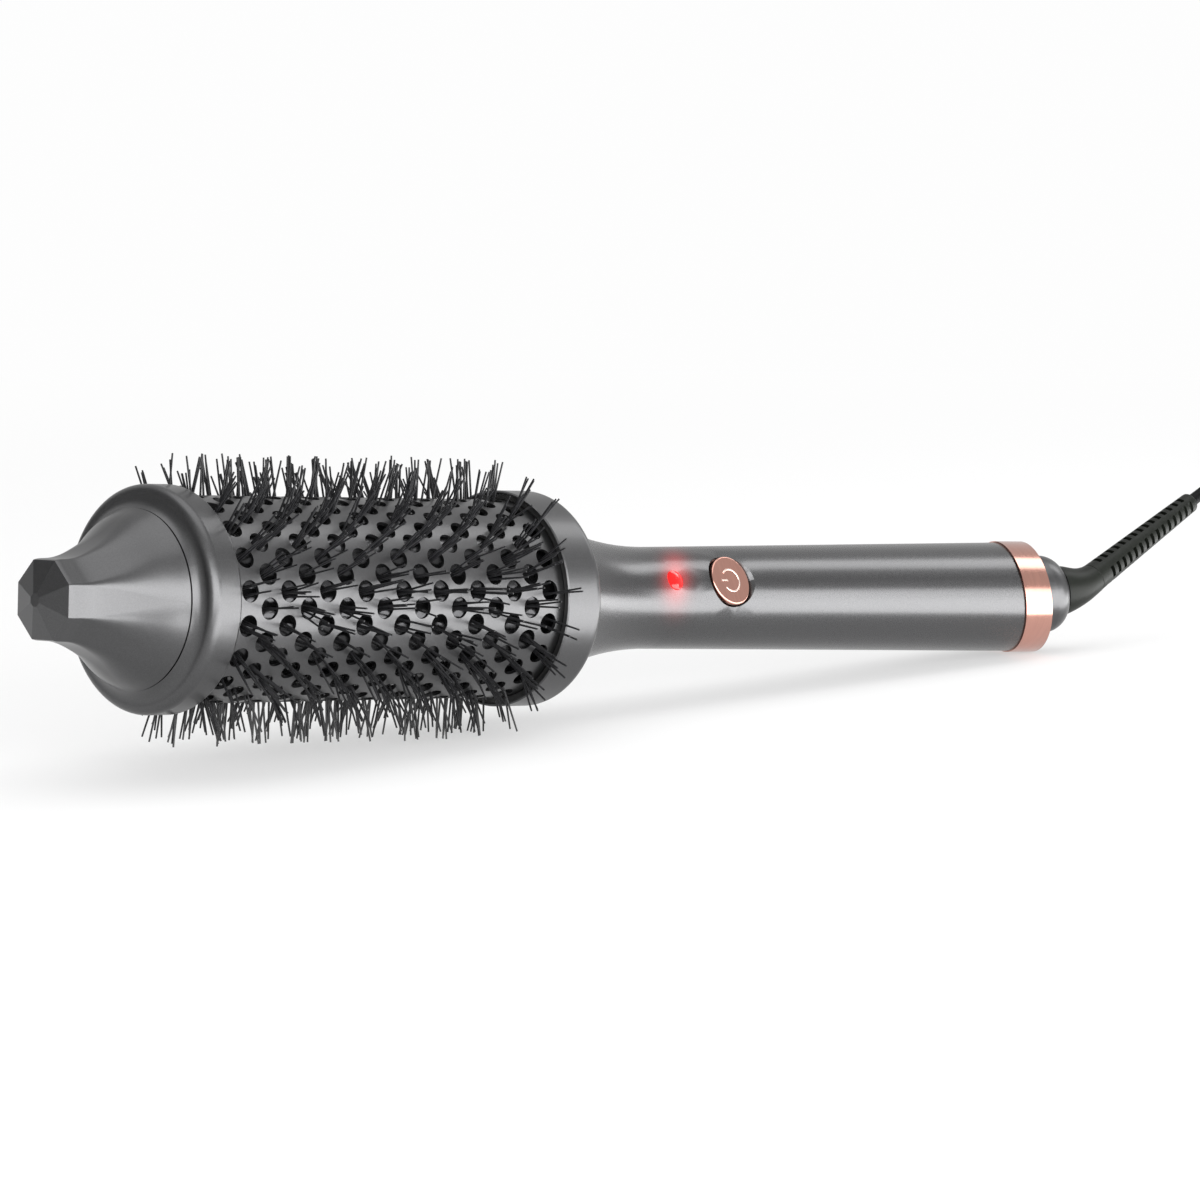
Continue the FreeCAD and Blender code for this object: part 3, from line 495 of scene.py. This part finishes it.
@dataclass
class PowerSign:
    """The power sign on the button: an open ring and a bar, open towards the tip.

    Attributes:
        pose: The brush's frame.
        button_x: Where along the brush the button is.
        face_z: How high the button's face is.
        radius: Radius of the ring.
        width: Width of the strokes at the face.
        top_share: Width of the ring's top as a share of that.
        height: How far the strokes stand out of the face.
        opening: Angle of the gap in the ring, in degrees.
        ring_steps: Steps in the ring's turn.
        bar: Where the bar starts and ends, from the middle.
        edge_share: Size of the bar's softened edges as a share of its height.
        edge_steps: Steps across a softened edge.
    """

    pose: BrushPose
    button_x: float = 214.1 * MM
    face_z: float = 12.6 * MM
    radius: float = 2.9 * MM
    width: float = 0.42 * MM
    top_share: float = 0.6
    height: float = 0.07 * MM
    opening: float = 80.0
    ring_steps: int = 40
    bar: tuple[float, float] = (1.2 * MM, 3.5 * MM)
    edge_share: float = 0.4
    edge_steps: int = 2

    def _ring(self, shape: bmesh.types.BMesh) -> None:
        """Spins the stroke's section round the middle of the face.

        Args:
            shape: The mesh to add to.
        """
        start = math.radians(180.0 + self.opening / 2)
        turn = Matrix.Rotation(start, 3, "Z")
        foot = self.width / 2
        top = foot * self.top_share
        corners = ((-foot, 0.0), (foot, 0.0), (top, self.height), (-top, self.height))
        section = [shape.verts.new(turn @ Vector((self.radius + x, 0.0, z))) for x, z in corners]
        face = shape.faces.new(section)
        bmesh.ops.spin(
            shape,
            geom=[*section, *face.edges, face],
            cent=(0.0, 0.0, 0.0),
            axis=UPWARD,
            angle=math.radians(360.0 - self.opening),
            steps=self.ring_steps,
        )

    def _bar(self, shape: bmesh.types.BMesh) -> None:
        """Adds the bar with softened edges.

        Args:
            shape: The mesh to add to.
        """
        length = self.bar[1] - self.bar[0]
        place = Matrix.Translation((-(self.bar[0] + self.bar[1]) / 2, 0.0, self.height / 2))
        scale = Matrix.Diagonal((length, self.width, self.height, 1.0))
        made = bmesh.ops.create_cube(shape, size=1.0, matrix=place @ scale)
        edges = list({edge for vert in made["verts"] for edge in vert.link_edges})
        bmesh.ops.bevel(
            shape,
            geom=edges,
            offset=self.height * self.edge_share,
            offset_type="OFFSET",
            affect="EDGES",
            segments=self.edge_steps,
            profile=0.5,
            material=-1,
        )

    def build(self, finish: bpy.types.Material) -> bpy.types.Object:
        """Builds the sign on the button's face.

        Args:
            finish: Its material.

        Returns:
            The piece.
        """
        shape = bmesh.new()
        self._ring(shape)
        self._bar(shape)
        bmesh.ops.recalc_face_normals(shape, faces=shape.faces)
        place = self.pose.matrix @ Matrix.Translation((self.button_x, 0.0, self.face_z))
        bmesh.ops.transform(shape, matrix=place, verts=shape.verts)
        piece = mesh_piece("power_sign", shape, finish, "button")
        return piece


@dataclass
class PaintedLedHalo:
    """Painted light: a red glow painted into the handle's paint round the indicator light, as the paint's
    own emission.

    Attributes:
        pose: The brush's frame.
        light_x: Where along the brush the light is.
        light_z: How high its lens is.
        axes: The glow's directions in the row's frame, each with how far it goes.
        colour: The glow's colour.
        strength: Its strength beside the lens.
    """

    pose: BrushPose
    light_x: float = 193.9 * MM
    light_z: float = 12.9 * MM
    axes: tuple[tuple[Triple, float], ...] = (
        ((0.7071, -0.7071, 0.0), 3.1 * MM),
        ((0.0, 0.0, 1.0), 5.6 * MM),
        ((0.7071, 0.7071, 0.0), 12.0 * MM),
    )
    colour: Triple = (1.0, 0.03, 0.03)
    strength: float = 0.65

    def paint_glow(self, paint: bpy.types.Material) -> None:
        """Paints the glow into the handle's paint as emission, a bell curve of the distance from the lens.

        Args:
            paint: The handle's material.
        """
        tree = paint.node_tree
        shader = tree.nodes["Principled BSDF"]
        place = tree.nodes.new("ShaderNodeTexCoord")
        away = tree.nodes.new("ShaderNodeVectorMath")
        away.operation = "SUBTRACT"
        away.inputs[1].default_value = self.pose.place(self.light_x, 0.0, self.light_z)
        tree.links.new(place.outputs["Object"], away.inputs[0])
        total: bpy.types.NodeSocket | float = 0.0
        for axis, reach in self.axes:
            part = tree.nodes.new("ShaderNodeVectorMath")
            part.operation = "DOT_PRODUCT"
            part.inputs[1].default_value = Vector(axis) / reach
            tree.links.new(away.outputs["Vector"], part.inputs[0])
            square = math_socket(tree, "MULTIPLY", part.outputs["Value"], part.outputs["Value"])
            total = math_socket(tree, "ADD", total, square)
        fade = math_socket(tree, "POWER", math.exp(-1.0), total)
        level = math_socket(tree, "MULTIPLY", fade, self.strength)
        # painted light: the handle's paint itself emits a red glow that fades with distance from the lens
        shader.inputs["Emission Color"].default_value = (*self.colour, 1.0)
        tree.links.new(level, shader.inputs["Emission Strength"])


@dataclass
class MainsLead:
    """The lead from the strain relief to its plug, with its put-away coil.

    Attributes:
        length: Real length of the lead. Not used.
        diameter: Its thickness.
        exit: Where it leaves the strain relief.
        outward: Its direction there.
        first_run: Length of its first straight run.
        route: Points to the coil, in millimetres.
        tail: Points from the coil to the plug, in millimetres.
        plug: Where it enters the plug, in millimetres.
        coil_x: Where the coil's half turns start and end.
        coil_radius: Where the outermost turn starts, from the coil's middle.
        coil_step: How far a whole turn winds inwards.
        coil_layer: Height from one layer of the coil to the next.
        coil_reversal: How far from a layer's last turn the next layer starts.
        coil_foot: Height of the lowest layer.
        layers: Layers of the coil.
        half_turns: Half turns in a layer.
        turn_points: Control points of a half turn.
    """

    length: float = 1.89
    diameter: float = 3.4 * MM
    exit: Vector = Vector((200.5178, -6.6144, 36.4064)) * MM
    outward: Vector = Vector((0.92057, 0.0001, 0.39058))
    first_run: float = 14.0 * MM
    route: tuple[Triple, ...] = (
        (226.0, -7.5, 44.5),
        (243.0, -11.0, 38.5),
        (258.0, -15.5, 25.5),
        (272.0, -20.0, 12.5),
        (287.0, -24.0, 4.9),
        (303.0, -26.3, 3.2),
    )
    tail: tuple[Triple, ...] = ((338.0, -26.3, 18.8), (357.0, -22.0, 7.5))
    plug: Triple = (372.0, -22.0, 7.5)
    coil_x: float = 322.0 * MM
    coil_radius: float = 26.3 * MM
    coil_step: float = 3.95 * MM
    coil_layer: float = 5.2 * MM
    coil_reversal: float = 5.6 * MM
    coil_foot: float = 3.2 * MM
    layers: int = 4
    half_turns: int = 5
    turn_points: int = 10

    def _stops(self) -> list[tuple[float, float]]:
        """Works out where each half turn of the coil ends.

        Returns:
            A radius and a height for each end.
        """
        stops: list[tuple[float, float]] = []
        for layer in range(self.layers):
            height = self.coil_foot + layer * self.coil_layer
            radii = [self.coil_radius - self.coil_step / 2 * i for i in range(self.half_turns + 1)]
            if layer % 2:
                radii.reverse()
            if layer:
                inside = -1 if layer % 2 else 1
                stops.append((radii[0] + inside * self.coil_reversal, height))
            stops += [(radius, height) for radius in radii]
        return stops

    def _coil(self) -> list[Vector]:
        """Lays the control points round the coil's half turns.

        Returns:
            The points in order.
        """
        spots = [
            Vector((self.coil_x, radius * (1 if i % 2 else -1), height))
            for i, (radius, height) in enumerate(self._stops())
        ]
        points = []
        for i, (start, end) in enumerate(zip(spots, spots[1:])):
            middle, arm = (start + end) / 2, (start - end) / 2
            bulge = Vector((arm.length * (-1 if i % 2 else 1), 0.0, 0.0))
            for k in range(self.turn_points):
                angle = math.pi * k / self.turn_points
                points.append(middle + arm * math.cos(angle) + bulge * math.sin(angle))
        return [*points, spots[-1]]

    def points(self) -> list[Vector]:
        """Lists all the control points from the strain relief to the plug.

        Returns:
            The points in order.
        """
        coil = self._coil()
        lead = Vector((self.diameter, 0.0, 0.0))
        return [
            self.exit,
            self.exit + self.outward * self.first_run,
            *(Vector(p) * MM for p in self.route),
            coil[0] - lead,
            *coil,
            coil[-1] + lead,
            *(Vector(p) * MM for p in self.tail),
            Vector(self.plug) * MM,
        ]

    def build(self, finish: bpy.types.Material) -> bpy.types.Object:
        """Args:
            finish: Its material.

        Returns:
            The lead.
        """
        curve = bpy.data.curves.new("mains_lead", "CURVE")
        curve.dimensions = "3D"
        curve.bevel_depth = self.diameter / 2
        curve.bevel_resolution = 3
        curve.use_fill_caps = True
        curve.resolution_u = 4
        points = self.points()
        spline = curve.splines.new("NURBS")
        spline.points.add(len(points) - 1)
        for spot, point in zip(spline.points, points):
            spot.co = (*point, 1.0)
        spline.order_u = 3
        spline.use_endpoint_u = True
        curve.materials.append(finish)
        lead = bpy.data.objects.new("mains_lead", curve)
        bpy.context.scene.collection.objects.link(lead)
        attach(lead, "swivel")
        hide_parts("cord", "cord_coil", "cord_tail")
        return lead


@dataclass(frozen=True)
class Softbox:
    """A rectangular lamp.

    Attributes:
        name: Its name.
        place: Its middle.
        size: Its width and height.
        level: Its brightness, where 1 is white.
    """

    name: str
    place: Triple
    size: tuple[float, float]
    level: float

    def light(self, place: Vector, target: Vector) -> bpy.types.Object:
        """Adds the lamp to the scene.

        Args:
            place: Where it stands in the row's frame.
            target: What it faces.

        Returns:
            The lamp.
        """
        width, height = self.size
        data = bpy.data.lights.new(self.name, "AREA")
        data.shape = "RECTANGLE"
        data.size, data.size_y = self.size
        data.energy = self.level * math.pi * width * height
        lamp = bpy.data.objects.new(self.name, data)
        lamp.location = place
        lamp.rotation_euler = (target - place).to_track_quat("-Z", "Y").to_euler()
        bpy.context.scene.collection.objects.link(lamp)
        return lamp


@dataclass(frozen=True)
class Card:
    """A matt grey plane of the studio.

    Attributes:
        name: Its name.
        half: Half its side.
        level: How pale it is.
        white: How far it shows as plain white near the object, beside its own shade.
        roughness: Its roughness.
        specular: Level of its reflection.
    """

    name: str
    half: float
    level: float
    white: float = 0.0
    roughness: float = 0.9
    specular: float = 0.1


FRONT_SOFTBOX = Softbox("front_softbox", (0.775, -1.2, 0.19), (1.75, 0.38), 5.4)
NOSE_SOFTBOX = Softbox("nose_softbox", (-0.779, -0.923, 0.32), (1.75, 0.6), 6.0)
BACK_STRIP = Softbox("back_strip", (0.73, -0.095, 0.58), (0.24, 0.5), 3.6)
FLOOR_PANEL = Softbox("floor_panel", (0.246, -0.468, 0.002), (0.9, 0.9), 5.0)
PALE_FLOOR = Card("pale_floor", 30.0, 0.79, white=0.5)
DARK_CARD = Card("dark_card", 0.5, 0.2)


@dataclass
class Studio:
    """Floor, lights and camera.

    Attributes:
        pose: The brush's frame.
        aim_x: The point of the brush's axis in the middle of the picture.
        distance: Camera distance to it.
        azimuth: Camera azimuth in degrees.
        elevation: Camera elevation in degrees.
        focal_pixels: Focal length in pixels of the picture.
        picture: Width of the picture in pixels.
        aim_drop: How far the aim is below that point.
        clip_end: How far the camera sees.
        white_span: How far off the floor starts to turn plain white, and where it is.
        white_level: How bright plain white is.
        card_place: Middle of the dark card.
        card_turn: How far the card is turned round the vertical, in degrees.
        room_level: Brightness of the room's even light.
        sun_level: Brightness of the overhead light.
        sun_spread: Its angle in degrees.
        tip_x: The point of the brush's axis that the tip's softbox faces.
        panel_turn: How far the panel on the floor is turned round the vertical, in degrees.
    """

    pose: BrushPose
    aim_x: float = 179.4 * MM
    distance: float = 1336.0 * MM
    azimuth: float = -45.0
    elevation: float = 7.2
    focal_pixels: float = 5405.0
    picture: int = 1200
    aim_drop: float = 0.5 * MM
    clip_end: float = 100.0
    white_span: tuple[float, float] = (0.25, 1.0)
    white_level: float = 0.985
    card_place: Triple = (-0.75, 0.55, 0.5)
    card_turn: float = 45.0
    room_level: float = 0.74
    sun_level: float = 1.0
    sun_spread: float = 60.0
    tip_x: float = 20.0 * MM
    panel_turn: float = 10.0

    def camera(self) -> bpy.types.Object:
        """Sets the camera at the photograph's viewing angle.

        Returns:
            The camera.
        """
        a, e = math.radians(self.azimuth), math.radians(self.elevation)
        away = Vector((math.sin(a) * math.cos(e), -math.cos(a) * math.cos(e), math.sin(e)))
        data = bpy.data.cameras.new("camera")
        data.sensor_width = 36.0
        data.lens = self.focal_pixels / self.picture * data.sensor_width
        data.clip_end = self.clip_end
        camera = bpy.data.objects.new("camera", data)
        camera.location = self.pose.place(self.aim_x) + away * self.distance - UPWARD * self.aim_drop
        camera.rotation_euler = (-away).to_track_quat("-Z", "Y").to_euler()
        bpy.context.scene.collection.objects.link(camera)
        bpy.context.scene.camera = camera
        return camera

    def plane(self, card: Card, place: Matrix) -> bpy.types.Object:
        """Adds a plane that isn't part of the object.

        Args:
            card: The plane's size and shade.
            place: Where it is.

        Returns:
            The plane.
        """
        shape = bmesh.new()
        bmesh.ops.create_grid(shape, x_segments=1, y_segments=1, size=card.half, matrix=place)
        mesh = bpy.data.meshes.new(card.name)
        shape.to_mesh(mesh)
        shape.free()
        made = bpy.data.materials.new(card.name)
        made.use_nodes = True
        tree = made.node_tree
        shader = tree.nodes["Principled BSDF"]
        shader.inputs["Base Color"].default_value = (card.level, card.level, card.level, 1.0)
        shader.inputs["Roughness"].default_value = card.roughness
        shader.inputs["Specular IOR Level"].default_value = card.specular
        if card.white:
            self._whiten(tree, shader, card.white)
        mesh.materials.append(made)
        plane = bpy.data.objects.new(card.name, mesh)
        bpy.context.scene.collection.objects.link(plane)
        return plane

    def _whiten(self, tree: bpy.types.NodeTree, shader: bpy.types.Node, share: float) -> None:
        """Mixes plain white into what the camera, metal and glass see of a plane.

        Args:
            tree: The plane's node tree.
            shader: Its matt shader.
            share: The share of plain white near the object, which rises to all of it further off.
        """
        path = tree.nodes.new("ShaderNodeLightPath")
        seen = path.outputs["Is Camera Ray"]
        for ray in ("Is Glossy Ray", "Is Transmission Ray"):
            seen = math_socket(tree, "MAXIMUM", seen, path.outputs[ray])
        place = tree.nodes.new("ShaderNodeTexCoord")
        away = tree.nodes.new("ShaderNodeVectorMath")
        away.operation = "LENGTH"
        tree.links.new(place.outputs["Object"], away.inputs[0])
        rise = tree.nodes.new("ShaderNodeMapRange")
        rise.interpolation_type = "SMOOTHSTEP"
        rise.inputs["From Min"].default_value, rise.inputs["From Max"].default_value = self.white_span
        rise.inputs["To Min"].default_value = share
        tree.links.new(away.outputs["Value"], rise.inputs["Value"])
        plain = tree.nodes.new("ShaderNodeEmission")
        plain.inputs["Strength"].default_value = self.white_level
        both = tree.nodes.new("ShaderNodeMixShader")
        tree.links.new(math_socket(tree, "MULTIPLY", seen, rise.outputs["Result"]), both.inputs["Fac"])
        tree.links.new(shader.outputs["BSDF"], both.inputs[1])
        tree.links.new(plain.outputs["Emission"], both.inputs[2])
        tree.links.new(both.outputs["Shader"], tree.nodes["Material Output"].inputs["Surface"])

    def planes(self) -> None:
        """Lays the pale floor and stands a dark card behind on the left, for the tip's facets to reflect."""
        self.plane(PALE_FLOOR, Matrix.Identity(4))
        turn = Matrix.Rotation(math.radians(self.card_turn), 4, "Z")
        stand = turn @ Matrix.Rotation(math.radians(90.0), 4, "X")
        card = self.plane(DARK_CARD, Matrix.Translation(self.card_place) @ stand)
        card.visible_camera = False

    def lights(self) -> None:
        """Adds the room's even light, the overhead light, the softboxes and the panel on the floor."""
        world = bpy.data.worlds.new("room")
        world.use_nodes = True
        room = world.node_tree.nodes["Background"]
        room.inputs["Color"].default_value = (1.0, 1.0, 1.0, 1.0)
        room.inputs["Strength"].default_value = self.room_level
        bpy.context.scene.world = world
        overhead = bpy.data.lights.new("overhead", "SUN")
        overhead.energy = self.sun_level
        overhead.angle = math.radians(self.sun_spread)
        bpy.context.scene.collection.objects.link(bpy.data.objects.new("overhead", overhead))
        front = Vector(FRONT_SOFTBOX.place)
        FRONT_SOFTBOX.light(front, front + Vector((0.0, 1.0, 0.0)))
        NOSE_SOFTBOX.light(Vector(NOSE_SOFTBOX.place), self.pose.place(self.tip_x))
        middle = self.pose.place(self.aim_x)
        BACK_STRIP.light(middle + Vector(BACK_STRIP.place), middle)
        low = Vector(FLOOR_PANEL.place)
        panel = FLOOR_PANEL.light(low, low + UPWARD)
        panel.rotation_euler = (math.pi, 0.0, math.radians(self.panel_turn))


def main() -> None:
    """Builds the looks in order and reports each piece."""
    logging.basicConfig(level=logging.INFO)
    bpy.context.scene.view_settings.view_transform = "Standard"
    pose = BrushPose()
    materials = {finish: finish.material() for finish in (*NODE_FINISHES, SIGN)}
    for finish, nodes in NODE_FINISHES.items():
        for node in nodes:
            thing = frame["nodes"][node]
            thing.data.materials.clear()
            thing.data.materials.append(materials[finish])
    studio = Studio(pose)
    studio.camera()
    studio.planes()
    studio.lights()
    # painted light: a red glow painted into the handle's paint round the indicator light
    PaintedLedHalo(pose).paint_glow(materials[HANDLE])
    for piece in (
        MainsLead().build(materials[LEAD]),
        Bristles(pose).build(materials[NYLON]),
        PowerSign(pose).build(materials[SIGN]),
    ):
        LOG.info("built %s", piece.name)


if __name__ == "__main__":
    main()
